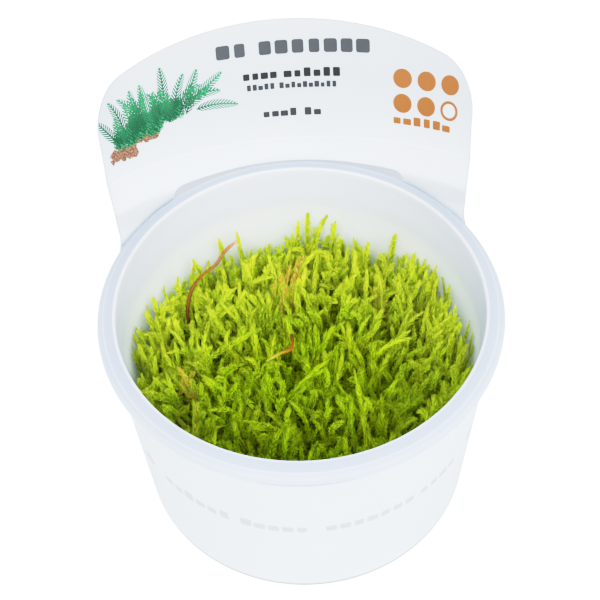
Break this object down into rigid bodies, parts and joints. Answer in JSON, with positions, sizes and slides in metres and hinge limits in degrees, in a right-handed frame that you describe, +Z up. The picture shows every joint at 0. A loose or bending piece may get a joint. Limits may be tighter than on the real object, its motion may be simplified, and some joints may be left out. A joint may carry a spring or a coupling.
{
  "type": "potted aquarium moss",
  "caption": "Clump of weeping moss with upright leafy shoots in a round flanged plastic cup, wrapped in a sheet label with a tall curved header.",
  "frame": {"origin": "on the cup's axis, on its flat underside, where it stands on a surface", "axes": "+Z up along the cup's axis, +Y to the back, where the header rises, +X to the right"},
  "size_m": [0.088, 0.1004, 0.0883],
  "materials": {
    "cup_plastic": "milky, slightly bluish satin moulded plastic",
    "label_sheet": null,
    "moss_leaf": "bright yellow-green, thin damp leaves",
    "dead_stem": "dry brown dead stem",
    "red_stem": "dull reddish stem"
  },
  "bodies": {
    "root": {"cup": "cup_plastic", "label": "label_sheet", "moss": "moss_leaf", "dead_stem": "dead_stem", "red_stem": "red_stem"}
  },
  "joints": []
}
